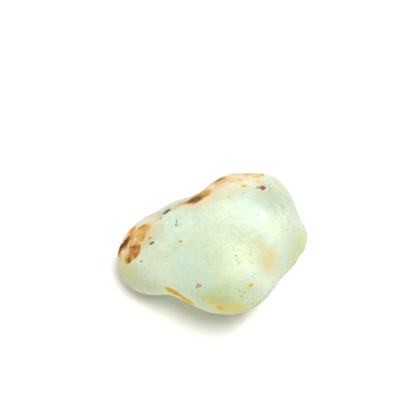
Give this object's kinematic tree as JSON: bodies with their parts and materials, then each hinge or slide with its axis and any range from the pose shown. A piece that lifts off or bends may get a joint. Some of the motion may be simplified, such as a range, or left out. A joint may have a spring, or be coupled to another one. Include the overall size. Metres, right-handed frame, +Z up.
{
  "type": "blue topaz pebble",
  "caption": "Water-worn pebble of pale, frosted, see-through topaz with rusty stains: a domed body, a shallow waist and a smaller lobe.",
  "frame": {"origin": "on the surface that the pebble lies on, below the middle of its box", "axes": "+Z up as it lies on its flattest side, +X along its length from the small lobe to the right tip, -Y towards the viewer"},
  "size_m": [0.0378, 0.0342, 0.0252],
  "materials": {
    "topaz": "frosted, milky, iron stained"
  },
  "bodies": {
    "root": {"topaz_pebble": "topaz"}
  },
  "joints": []
}
